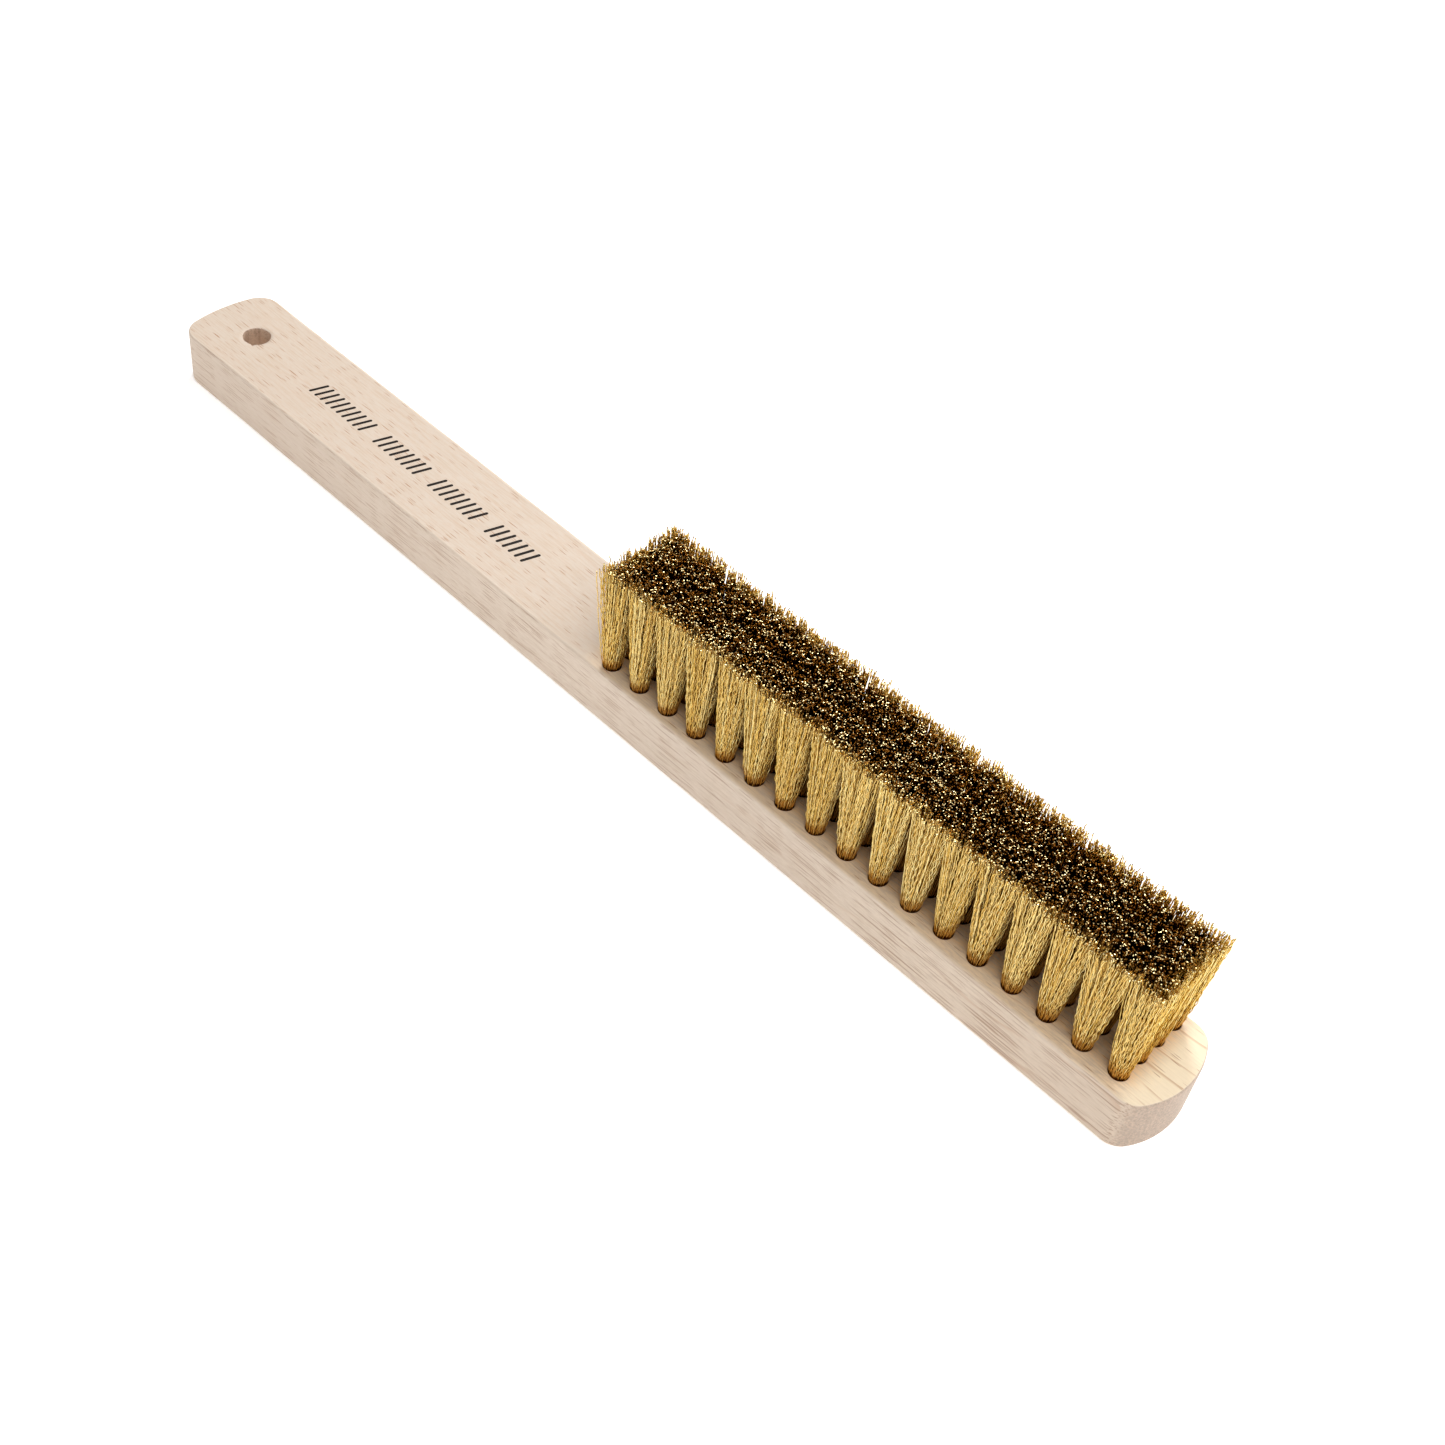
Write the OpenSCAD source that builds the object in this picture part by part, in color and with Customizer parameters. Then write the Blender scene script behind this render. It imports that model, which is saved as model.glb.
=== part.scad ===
// Wire scratch brush: a straight wooden block, handle and head in one, with lines of brass wire
// tufts standing on one half of it. Each tuft is folded in half around a flat wire anchor, and the
// anchor is driven into a blind hole in the block.
//
// Frame: millimetres. The block lies on its back with the bristles up. +X runs from the handle end
// to the head end, +Z is up, and the origin is on the back face, under the middle of the block.

/* [Block] */
// Length of the block, over both ends
block_l = 260; // [245:1:300]
// Width of the block
block_w = 22; // [21:0.5:28]
// Thickness of the block
block_t = 12; // [11:0.5:16]
// Radius of the shallow arc that ends the handle, seen from above
handle_arc_r = 34; // [24:1:60]
// Radius of the corners beside the handle's end arc
handle_corner_r = 5; // [3:0.5:7]
// Radius of the rounder arc that ends the head, seen from above
head_arc_r = 17; // [16:0.5:30]
// Radius of the corners beside the head's end arc
head_corner_r = 4.5; // [3:0.5:7]

/* [Hanging hole] */
// Diameter of the through hole
hang_d = 5.8; // [4:0.1:8]
// From the handle end to the middle of the hole
hang_x = 13; // [10:0.5:20]

/* [Tufts] */
// Rows of tufts along the block
rows = 17; // [4:1:17]
// Tufts in each row, across the block
tufts = 4; // [2:1:4]
// Spacing of the rows
row_pitch = 7.34; // [6.8:0.02:7.4]
// Spacing of the tufts in a row
tuft_pitch = 4.85; // [4.6:0.05:5]
// From the head end to the middle of the last row
head_margin = 9.3; // [8:0.1:14]
// Angle by which the drilled field is out of line with the block
field_skew = 0.5; // [0:0.1:0.8]
// Diameter of the tuft holes
hole_d = 3.6; // [3.2:0.1:3.8]
// Depth of the tuft holes, without the drill point
hole_depth = 8; // [7:0.5:8.5]
// Height of the bristles above the block
trim_h = 23; // [15:1:35]
// How far the outer sides of the bristle field stand out past their holes at the tips
outer_flare = 0.4; // [0.1:0.1:1]

/* [Anchors] */
// Length of an anchor, across the hole
anchor_l = 4.2; // [4.1:0.1:4.4]
// Height of an anchor
anchor_h = 1.6; // [1:0.1:2.5]
// Thickness of an anchor
anchor_t = 0.5; // [0.3:0.1:0.8]

/* [Hidden] */
$fn = 64;
eps = 0.01;

// Straight steps in each arc of the block's outline
arc_steps = 14;

// The point that a twist drill leaves at the bottom of a blind hole
drill_point_angle = 118;
drill_point_h = hole_d / 2 / tan(drill_point_angle / 2);
hole_z = block_t - hole_depth;

// The wires pass under the anchor, so it stands clear of the bottom of the hole
anchor_z = hole_z + 1.2;

// The last row stands head_margin from the head end, and the field is centred across the block
field_x = block_l / 2 - head_margin - (rows - 1) / 2 * row_pitch;

// A tuft spreads until it meets its neighbours, less a hair that keeps the solids apart
tuft_gap = 0.06;
cell_x = (row_pitch - tuft_gap) / 2;
cell_y = (tuft_pitch - tuft_gap) / 2;
outer_cell = hole_d / 2 + outer_flare;
tip_r = sqrt(pow(cell_x, 2) + pow(cell_y, 2));

wood = "#e9d3b8";
brass = "#c9a24e";
steel = "#a9adb0";

function node_name(kind, row) = str(kind, "_row_", row < 10 ? "0" : "", row);

// ---- The wooden block ----

// Points along an arc, counted from one angle to the other
function arc_points(centre, r, from, to) = [
    for (i = [0 : arc_steps])
        let (angle = from + (to - from) * i / arc_steps)
            centre + r * [cos(angle), sin(angle)]
];

// One end of the outline, clockwise, with the tip of the end arc at x = 0 and the block running
// off towards +X. The corner circles touch both the end arc and the block's sides.
function end_points(arc_r, corner_r) =
    let (
        side_y = block_w / 2 - corner_r,
        bearing = asin(side_y / (arc_r - corner_r)),
        corner_x = arc_r - (arc_r - corner_r) * cos(bearing)
    )
        concat(
            arc_points([corner_x, -side_y], corner_r, 270, 180 + bearing),
            arc_points([arc_r, 0], arc_r, 180 + bearing, 180 - bearing),
            arc_points([corner_x, side_y], corner_r, 180 - bearing, 90)
        );

module block_outline() {
    handle_end = [for (p = end_points(handle_arc_r, handle_corner_r)) [p.x - block_l / 2, p.y]];
    head_end = [for (p = end_points(head_arc_r, head_corner_r)) [block_l / 2 - p.x, -p.y]];
    polygon(concat(handle_end, head_end));
}

module wooden_block() {
    color(wood)
        difference() {
            linear_extrude(block_t) block_outline();
            translate([-block_l / 2 + hang_x, 0, -1]) cylinder(d = hang_d, h = block_t + 2);
            for (row = [1 : rows]) {
                at_tufts(row) tuft_hole();
                at_tufts(row) anchor();
            }
        }
}

// ---- Tufts and their holes ----

// Puts its children at each tuft of a row, with z = 0 on the block's back. They can read $tuft.
module at_tufts(row) {
    translate([field_x, 0, 0])
        rotate([0, 0, field_skew])
            for ($tuft = [1 : tufts])
                translate([
                    (row - (rows + 1) / 2) * row_pitch,
                    ($tuft - (tufts + 1) / 2) * tuft_pitch,
                    0
                ])
                    children();
}

module tuft_hole() {
    translate([0, 0, hole_z]) cylinder(d = hole_d, h = hole_depth + 1);
    translate([0, 0, hole_z - drill_point_h]) cylinder(d1 = 0, d2 = hole_d, h = drill_point_h + eps);
}

// The stretch above the block: a cone that widens from the hole, cut off square where it meets
// the tufts beside it or reaches the outer side of the field
module tuft_fan(x_low, x_high, y_low, y_high) {
    translate([0, 0, block_t])
        intersection() {
            cylinder(r1 = hole_d / 2, r2 = tip_r, h = trim_h);
            translate([x_low, y_low, 0]) cube([x_high - x_low, y_high - y_low, trim_h]);
        }
}

module tuft_row(row) {
    color(brass)
        at_tufts(row)
            difference() {
                union() {
                    translate([0, 0, hole_z]) cylinder(d = hole_d, h = hole_depth);
                    tuft_fan(
                        row == 1 ? -outer_cell : -cell_x,
                        row == rows ? outer_cell : cell_x,
                        $tuft == 1 ? -outer_cell : -cell_y,
                        $tuft == tufts ? outer_cell : cell_y
                    );
                }
                anchor();
            }
}

// ---- Anchors ----

// A short piece of flat wire, standing on edge across the hole. Its ends bite into the wood.
module anchor() {
    translate([-anchor_t / 2, -anchor_l / 2, anchor_z]) cube([anchor_t, anchor_l, anchor_h]);
}

module anchor_row(row) {
    color(steel) at_tufts(row) anchor();
}

wooden_block();
for (row = [1 : rows]) {
    tuft_row(row);
    anchor_row(row);
}
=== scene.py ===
"""A wire scratch brush: a beech block, tufts of crimped brass wire and the steel anchors that hold them.

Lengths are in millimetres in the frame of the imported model, and times MM they are Blender's metres.
"""
import math

import bpy
import numpy as np
from mathutils import Matrix, Vector, geometry, noise


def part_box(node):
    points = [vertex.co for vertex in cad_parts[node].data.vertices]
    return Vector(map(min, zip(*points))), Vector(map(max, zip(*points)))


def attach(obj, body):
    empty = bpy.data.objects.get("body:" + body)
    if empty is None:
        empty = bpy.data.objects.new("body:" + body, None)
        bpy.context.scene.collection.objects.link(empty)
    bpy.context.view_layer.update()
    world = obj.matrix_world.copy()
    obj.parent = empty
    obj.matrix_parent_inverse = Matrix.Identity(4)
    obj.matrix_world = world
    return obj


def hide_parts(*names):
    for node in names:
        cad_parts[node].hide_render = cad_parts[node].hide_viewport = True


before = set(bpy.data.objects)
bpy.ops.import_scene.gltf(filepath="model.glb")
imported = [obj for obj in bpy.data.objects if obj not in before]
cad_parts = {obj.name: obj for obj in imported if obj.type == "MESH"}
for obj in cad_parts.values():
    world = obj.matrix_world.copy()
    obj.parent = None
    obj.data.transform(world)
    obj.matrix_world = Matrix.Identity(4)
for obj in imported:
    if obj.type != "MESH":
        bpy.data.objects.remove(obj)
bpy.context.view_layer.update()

MM = 0.001
SEED = 20
EXPORT_MAP = "OFBake"  # the UV layer that holds the wires' texture places

# ---- Sizes of the imported model ----

ROWS = 17
TUFTS = 4
ANCHOR_LENGTH = 4.2


def box_mm(node):
    low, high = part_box(node)
    return np.array(low) / MM, np.array(high) / MM


def row_centre(row):
    low, high = box_mm(f"anchor_row_{row:02d}")
    return (low[:2] + high[:2]) / 2


block_low, block_high = box_mm("wooden_block")
BLOCK_LENGTH, BLOCK_WIDTH, BLOCK_TOP = block_high - block_low
TRIM_TOP = box_mm("tuft_row_01")[1][2]

# The drilled field: its direction along the block, across it, and its spacing both ways
ROW_CENTRES = [row_centre(row) for row in range(1, ROWS + 1)]
field_span = ROW_CENTRES[-1] - ROW_CENTRES[0]
field_length = np.linalg.norm(field_span)
ROW_PITCH = field_length / (ROWS - 1)
ALONG = field_span / field_length
ACROSS = np.array([-ALONG[1], ALONG[0]])
anchor_low, anchor_high = box_mm("anchor_row_01")
TUFT_PITCH = (anchor_high[1] - anchor_low[1] - ANCHOR_LENGTH) / (TUFTS - 1)
ANCHOR_BOTTOM = anchor_low[2]
ANCHOR_TOP = anchor_high[2]


def tuft_centre(row, tuft):
    return ROW_CENTRES[row - 1] + ACROSS * (tuft - (TUFTS + 1) / 2) * TUFT_PITCH


# ---- Node materials ----


class Look:
    """One material's node tree, with short calls. A value is a number, a colour or another node's output."""

    def __init__(self, name):
        self.material = bpy.data.materials.new(name)
        self.material.use_nodes = True
        self.tree = self.material.node_tree
        self.shader = self.tree.nodes["Principled BSDF"]
        self.place = self.node("ShaderNodeTexCoord").outputs["Object"]

    def node(self, kind, inputs=(), **settings):
        made = self.tree.nodes.new(kind)
        for name, value in settings.items():
            setattr(made, name, value)
        for name, value in dict(inputs).items():
            self.feed(value, made.inputs[name])
        return made

    def feed(self, value, socket):
        if isinstance(value, bpy.types.NodeSocket):
            self.tree.links.new(value, socket)
        else:
            socket.default_value = value

    def set(self, name, value):
        self.feed(value, self.shader.inputs[name])

    def math(self, operation, a, b=0.0):
        return self.node("ShaderNodeMath", {0: a, 1: b}, operation=operation).outputs[0]

    def product(self, first, *factors):
        for factor in factors:
            first = self.math("MULTIPLY", first, factor)
        return first

    def parts(self, vector):
        """The x, y and z of a vector."""
        return self.node("ShaderNodeSeparateXYZ", {0: vector}).outputs

    def mix(self, factor, a, b):
        """Colour a where factor is 0, and colour b where it is 1."""
        return self.node("ShaderNodeMix", {0: factor, 6: a, 7: b}, data_type="RGBA").outputs[2]

    def step(self, value, low, high, to_low=0.0, to_high=1.0):
        """Smooth step: to_low at low, to_high at high. low may be the larger."""
        inputs = {"Value": value, "From Min": low, "From Max": high, "To Min": to_low, "To Max": to_high}
        return self.node("ShaderNodeMapRange", inputs, interpolation_type="SMOOTHSTEP").outputs["Result"]

    def stretched(self, x, y, z, shift=0.0):
        """Object coordinates counted in cells of x by y by z millimetres."""
        scale = (1 / (x * MM), 1 / (y * MM), 1 / (z * MM))
        inputs = {"Vector": self.place, "Scale": scale, "Location": (shift, shift * 1.7, shift * 0.6)}
        return self.node("ShaderNodeMapping", inputs).outputs["Vector"]

    def noise(self, vector, detail=2.0, roughness=0.5):
        inputs = {"Vector": vector, "Scale": 1.0, "Detail": detail, "Roughness": roughness}
        return self.node("ShaderNodeTexNoise", inputs).outputs["Fac"]

    def cells(self, vector):
        return self.node("ShaderNodeTexVoronoi", {"Vector": vector, "Scale": 1.0}).outputs

    def attribute(self, name):
        return self.node("ShaderNodeAttribute", attribute_name=name).outputs["Fac"]

    def bump(self, height, distance, strength):
        inputs = {"Height": height, "Distance": distance * MM, "Strength": strength}
        self.set("Normal", self.node("ShaderNodeBump", inputs).outputs["Normal"])


def grey(value):
    return (value, value, value, 1.0)


RING_WIDTH = 3.9  # a year's growth of the beech
FIELD_START = ROW_CENTRES[0][0]
FIELD_END = ROW_CENTRES[-1][0]


def beech_ground(look):
    """Cream wood with broad warm and cool drifts and a few pink patches."""
    drift = look.noise(look.stretched(34, 9, 9), detail=3.0)
    wood = look.mix(look.step(drift, 0.3, 0.7), (0.78, 0.645, 0.53, 1), (0.74, 0.608, 0.498, 1))
    blush = look.noise(look.stretched(14, 6, 6, shift=4.3))
    return look.mix(look.step(blush, 0.56, 0.74, to_high=0.35), wood, (0.76, 0.58, 0.455, 1))


def beech_stretches(look, wood, top, side, headward):
    """Tints along the block. Painted shade greys the top and the sides towards the handle. The head is paler
    and warmer, partly its own tone and partly painted light. Painted brass reflection warms the top beside
    the tufts, painted shade and brass reflection darken it between them, partly a stain round the roots, and
    painted shade darkens the sides near the head.
    """
    x, y, _ = look.parts(look.place)
    # Painted shade: the top is painted greyer and darker towards the handle.
    painted_shade_top = look.product(top, look.step(x, 125 * MM, 30 * MM, to_high=0.55))
    wood = look.mix(painted_shade_top, wood, (0.52, 0.44, 0.36, 1))
    # Painted shade: the sides are painted darker towards the handle.
    painted_shade_side = look.product(side, look.step(x, 0.0, -110 * MM, to_high=0.5))
    wood = look.mix(painted_shade_side, wood, (0.54, 0.405, 0.325, 1))
    # Paler and warmer towards the head: partly the wood's own tone and partly painted light.
    wood = look.mix(look.product(headward, 0.45), wood, (0.88, 0.70, 0.51, 1))

    # Painted reflection: the top beside the tufts is warmed as if lit by the brass.
    from_start = look.step(x, (FIELD_START - 7) * MM, FIELD_START * MM)
    to_end = look.step(x, (FIELD_END + 6) * MM, (FIELD_END + 1) * MM)
    beside = look.product(from_start, to_end)
    wood = look.mix(look.product(beside, top, 0.42), wood, (0.92, 0.66, 0.37, 1))
    # Painted shade and painted brass reflection between the tufts, partly a stain round the roots.
    between = look.step(look.math("ABSOLUTE", y), 9 * MM, 6.5 * MM, to_high=0.6)
    wood = look.mix(look.product(beside, between, top), wood, (0.80, 0.45, 0.17, 1))

    # Painted shade: the sides near the head are painted darker and browner.
    painted_shade_head_side = look.product(look.step(x, 85 * MM, 125 * MM, to_high=0.3), side)
    return look.mix(painted_shade_head_side, wood, (0.49, 0.35, 0.27, 1))


def growth_lines(look, headward):
    """Sheets that lie askew to the block's back and wander along it, plainest at the head."""
    _, y, z = look.parts(look.place)
    wander = look.noise(look.stretched(45, 12, 12, shift=7.0))
    depth = look.math("ADD", look.product(z, 0.5 / MM), look.product(y, 0.85 / MM))
    depth = look.math("ADD", depth, look.product(wander, 11.0))
    ring = look.math("FRACT", look.math("DIVIDE", depth, RING_WIDTH))
    line = look.product(look.step(ring, 0.84, 0.96), look.step(ring, 0.99, 0.965))
    patchy = look.step(look.noise(look.stretched(18, 3, 3, shift=1.1)), 0.44, 0.6)
    shown = look.math("ADD", look.product(headward, 0.44), 0.16)
    return look.product(line, patchy, shown)


def flecks(look, length, width, shift, size, share):
    """Thin marks along the grain, one in each cell of length by width millimetres.

    size is a fleck's reach in cells, and share is how many of the cells have one.
    """
    cell = look.cells(look.stretched(length, width, width, shift))
    near = look.step(cell["Distance"], size, size * 0.5)
    chance = look.node("ShaderNodeSeparateColor", {0: cell["Color"]}).outputs[0]
    kept = look.step(chance, 1 - share, 1 - share * 0.3)
    return look.product(near, kept)


def end_grain(look, end):
    """The colour of the sawn ends, and the dots that pores make there."""
    speckle = look.noise(look.stretched(1.5, 0.3, 0.42, 5.0), roughness=0.7)
    grain = look.mix(look.step(speckle, 0.36, 0.64), (0.27, 0.168, 0.118, 1), (0.50, 0.332, 0.236, 1))
    streak = look.noise(look.stretched(3.0, 0.35, 5.0, 2.7))
    grain = look.mix(look.step(streak, 0.5, 0.66, to_high=0.4), grain, (0.60, 0.43, 0.328, 1))
    pores = look.cells(look.stretched(3.0, 0.5, 0.5, 5.0))["Distance"]
    return grain, look.product(look.step(pores, 0.45, 0.3), end)


def bored_wall(look, wood):
    """Painted shade: the tuft holes' walls are painted dark brown in patches, and the hanging hole's wall
    only a little darker.
    """
    x = look.parts(look.place)[0]
    patchy_hole_shade = look.step(look.noise(look.stretched(1.6, 1.6, 5.0, shift=3.3)), 0.35, 0.65, 0.3, 0.7)
    wall = look.mix(look.step(x, -110 * MM, -70 * MM), (0.74, 0.55, 0.40, 1), (0.34, 0.185, 0.10, 1))
    return look.mix(look.product(look.attribute("bored"), patchy_hole_shade), wood, wall)


def beech_look():
    """Bare sanded beech: cream, lined along the grain, with short brown rays and a few growth lines."""
    look = Look("beech")
    x = look.parts(look.place)[0]
    normal = look.node("ShaderNodeNewGeometry").outputs["Normal"]
    facing = [look.math("ABSOLUTE", part) for part in look.parts(normal)]
    end = look.step(facing[0], 0.25, 0.8)
    side = look.step(facing[1], 0.5, 0.9)
    top = look.step(facing[2], 0.5, 0.9)
    headward = look.step(x, 30 * MM, 125 * MM)
    wood = beech_stretches(look, beech_ground(look), top, side, headward)

    # A fine mottle, and the fibres as fine lines along the block
    mottle = look.noise(look.stretched(1.6, 0.45, 0.45, shift=2.6), detail=3.0, roughness=0.65)
    wood = look.mix(look.step(mottle, 0.42, 0.68, to_high=0.6), wood, (0.62, 0.48, 0.37, 1))
    fibre = look.noise(look.stretched(8, 0.3, 0.24), roughness=0.6)
    wood = look.mix(look.step(fibre, 0.45, 0.68, to_high=0.6), wood, (0.56, 0.42, 0.30, 1))

    # The top of the head's bare end is paler and plainer than the rest: partly the wood's own tone and partly
    # painted light
    bare = look.product(look.step(x, (FIELD_END + 1) * MM, (FIELD_END + 5) * MM), top)
    wood = look.mix(look.product(bare, 0.7), wood, (1.0, 0.86, 0.63, 1))
    wood = look.mix(growth_lines(look, headward), wood, (0.50, 0.26, 0.12, 1))

    # Rays: brown flecks, short everywhere and long on the sides. Those near the head are the longest.
    short = flecks(look, 4.2, 0.27, 0.0, 0.33, 0.35)
    short = look.math("MAXIMUM", short, flecks(look, 6.5, 0.36, 3.7, 0.28, 0.3))
    long = flecks(look, 13, 0.32, 6.1, 0.37, 0.6)
    long = look.math("MAXIMUM", long, flecks(look, 7, 0.27, 2.9, 0.36, 0.45))
    longest = look.product(flecks(look, 22, 0.6, 8.3, 0.38, 0.65), look.step(x, 20 * MM, 90 * MM))
    long = look.product(look.math("MAXIMUM", long, longest), side)
    wood = look.mix(look.product(short, 0.85), wood, (0.38, 0.185, 0.09, 1))
    wood = look.mix(look.product(long, 1.6), wood, (0.33, 0.155, 0.075, 1))

    grain, dots = end_grain(look, end)
    wood = look.mix(look.product(end, 0.9), wood, grain)
    wood = look.mix(look.product(dots, 0.6), wood, (0.22, 0.13, 0.09, 1))
    # The rounded edges are paler: partly sanding wear and partly a painted highlight.
    wood = look.mix(look.product(look.attribute("sanded"), 0.35), wood, (0.82, 0.70, 0.57, 1))
    look.set("Base Color", bored_wall(look, wood))

    rough = look.noise(look.stretched(5, 0.5, 0.5, 9.0), detail=3.0)
    look.set("Roughness", look.step(rough, 0.2, 0.8, to_low=0.5, to_high=0.72))
    look.set("Specular IOR Level", 0.35)
    rays = look.math("MAXIMUM", short, long)
    relief = look.math("ADD", look.product(fibre, -0.5), look.product(rays, -0.6))
    relief = look.math("ADD", relief, look.product(dots, -0.5))
    look.bump(relief, 0.03, 0.5)
    return look.material


def cut_end(look, tone, clump):
    """Painted glints and shade on the cut ends: a share of them, larger in some clumps, is painted bright
    gold as a glint, and the rest painted near-black brown as shade.
    """
    glint_chance = look.math("FRACT", look.product(tone, 7.0))
    glint_chance = look.math("ADD", glint_chance, look.product(clump, 0.3))
    return look.mix(look.step(glint_chance, 0.80, 0.90), (0.15, 0.055, 0.008, 1), (1.0, 0.83, 0.43, 1))


def brass_look():
    """Drawn brass wire, bright outside the field. Painted shade makes it dark brown inside the field and
    darker towards the handle, and painted reflected light makes it orange where it leaves the wood.
    """
    look = Look("brass_wire")
    x, y, z = look.parts(look.place)
    tone = look.attribute("tone")
    brass = look.mix(tone, (0.80, 0.55, 0.15, 1), (1.0, 0.86, 0.42, 1))
    # Painted shade: the wires are painted darker towards the handle.
    painted_shade_handleward = look.step(x, 75 * MM, -20 * MM, to_high=0.22)
    brass = look.mix(painted_shade_handleward, brass, (0.44, 0.28, 0.06, 1))
    tarnish = look.noise(look.stretched(1.1, 1.1, 2.4))
    brass = look.mix(look.step(tarnish, 0.48, 0.75, to_high=0.45), brass, (0.66, 0.40, 0.09, 1))
    # Painted reflected light: the wires are painted orange just above the wood, where light bounces between
    # the packed wires.
    edge = look.math("ADD", z, look.product(tarnish, 2.2 * MM))
    root = look.step(edge, (BLOCK_TOP + 4.4) * MM, (BLOCK_TOP + 1.6) * MM)
    brass = look.mix(look.product(root, 0.5), brass, (0.78, 0.40, 0.07, 1))

    # Painted shade: wires deep inside the field are painted dark brown, lighter in clumps
    clump = look.step(look.noise(look.stretched(2.4, 2.4, 9.0, shift=5.5)), 0.38, 0.62)
    brown = look.mix(tone, (0.055, 0.016, 0.001, 1), (0.27, 0.10, 0.009, 1))
    brown = look.mix(look.product(clump, 0.6), brown, (0.42, 0.17, 0.015, 1))
    # Painted light: the far side of the field is painted lighter, as if lit from behind.
    brown = look.mix(look.step(y, -3 * MM, 7 * MM, to_high=0.4), brown, (0.46, 0.21, 0.03, 1))
    brass = look.mix(look.product(look.attribute("painted_field_shade"), 0.93), brass, brown)

    cut = look.attribute("cut")
    # The cut ends get the painted glints and shade of cut_end.
    look.set("Base Color", look.mix(cut, brass, cut_end(look, tone, clump)))
    look.set("Metallic", 1.0)
    look.set("Specular Tint", (0.85, 0.56, 0.2, 1))
    drawn = look.step(tarnish, 0.3, 0.8, to_low=0.15, to_high=0.28)
    look.set("Roughness", look.math("ADD", drawn, look.product(cut, 0.22)))
    look.bump(look.noise(look.stretched(0.05, 0.05, 0.7), detail=1.0), 0.002, 0.3)
    return look.material


def steel_look():
    """Cold-rolled flat wire: grey, faintly brushed along its length."""
    look = Look("anchor_wire")
    brushed = look.noise(look.stretched(0.08, 2.5, 0.08), detail=3.0)
    look.set("Base Color", look.mix(brushed, (0.36, 0.37, 0.38, 1), (0.62, 0.63, 0.64, 1)))
    look.set("Metallic", 1.0)
    look.set("Roughness", look.step(brushed, 0.2, 0.8, to_low=0.28, to_high=0.5))
    look.bump(brushed, 0.01, 0.5)
    return look.material


def ink_look():
    """Dark brown-grey printing ink, paler where it is worn thin."""
    look = Look("print_ink")
    worn = look.noise(look.stretched(1.4, 0.22, 0.22), detail=3.0)
    thin = look.step(worn, 0.5, 0.8)
    look.set("Base Color", look.mix(thin, (0.009, 0.006, 0.004, 1), (0.05, 0.032, 0.022, 1)))
    look.set("Roughness", look.step(worn, 0.2, 0.8, to_low=0.5, to_high=0.75))
    look.set("Specular IOR Level", 0.15)
    look.bump(worn, 0.01, 0.5)
    return look.material


def floor_look():
    look = Look("pale_floor")
    mottle = look.noise(look.stretched(60, 60, 60))
    look.set("Base Color", look.mix(mottle, grey(0.90), grey(0.93)))
    look.set("Roughness", look.step(mottle, 0.3, 0.7, to_low=0.85, to_high=0.95))
    look.set("Specular IOR Level", 0.0)
    look.set("Emission Color", grey(1.0))
    look.set("Emission Strength", 0.4)
    return look.material


# ---- Meshes ----


def new_piece(name, mesh, material):
    piece = bpy.data.objects.new(name, mesh)
    bpy.context.scene.collection.objects.link(piece)
    mesh.materials.append(material)
    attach(piece, "root")
    return piece


INSIDE = 1  # delaunay_2d_cdt's output type that keeps only what the outline encloses
MERGE_DISTANCE = 1e-6


class Shell:
    """Gathers points and faces for one mesh.

    A ring is an array of point numbers, anticlockwise from above.
    """

    def __init__(self):
        self.points = []
        self.faces = []

    def ring(self, points, level):
        start = len(self.points)
        self.points.extend((x, y, level) for x, y in points)
        return np.arange(start, len(self.points))

    def stack(self, rings):
        """Quads between rings, from the lowest of an outer wall to the highest, or down a hole."""
        for low, high in zip(rings, rings[1:]):
            corners = zip(low, np.roll(low, -1), np.roll(high, -1), high)
            self.faces.extend(tuple(map(int, quad)) for quad in corners)

    def cap(self, outer, holes, discs, grid, up):
        """Fills the flat inside of the ring outer with triangles, apart from the round rings in holes.

        discs has each hole's middle and its ring's radius, and grid loose points that keep triangles short.
        """
        level = self.points[outer[0]][2]
        index = np.concatenate([outer, *holes, self.ring(grid, level)])
        flat = [Vector(self.points[i][:2]) for i in index]
        edges = []
        start = 0
        for ring in (outer, *holes):
            edges.extend((start + i, start + (i + 1) % len(ring)) for i in range(len(ring)))
            start += len(ring)
        points, _, triangles, origin, _, _ = geometry.delaunay_2d_cdt(
            flat, edges, [], INSIDE, MERGE_DISTANCE
        )
        corners = np.array([[points[i] for i in triangle] for triangle in triangles])
        middles = corners.mean(axis=1)
        open_air = np.zeros(len(middles), bool)
        for centre, radius in discs:
            open_air |= np.linalg.norm(middles - centre, axis=1) < radius
        for triangle in np.array(triangles)[~open_air]:
            face = [int(index[origin[i][0]]) for i in triangle]
            self.faces.append(tuple(face if up else face[::-1]))

    def mesh(self, name):
        made = bpy.data.meshes.new(name)
        made.from_pydata([Vector(p) * MM for p in self.points], [], self.faces)
        made.validate()
        return made


# ---- The wooden block ----

HANDLE_ARC_R = 34.0
HANDLE_CORNER_R = 5.0
HEAD_ARC_R = 17.0
HEAD_CORNER_R = 4.5

# Spacing of the outline's points
CORNER_STEP = 0.5
END_STEP = 0.8
SIDE_STEP = 2.0

EDGE_R = 0.6
EDGE_STEPS = 5
EDGE_WANDER = 0.3  # the share by which a broken edge's width wanders
EDGE_WANDER_SIZE = 14.0  # size of its waves along the edge
END_CRISPNESS = 0.5  # the share by which the edges of the sawn ends are narrower
CRISP_START = 12.0  # from the block's ends to where its edges begin to narrow
CRISP_RUN = 8.0
HOLD = 0.2  # width of the flat strip that keeps a rounded edge's shading off the flat faces

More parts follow.
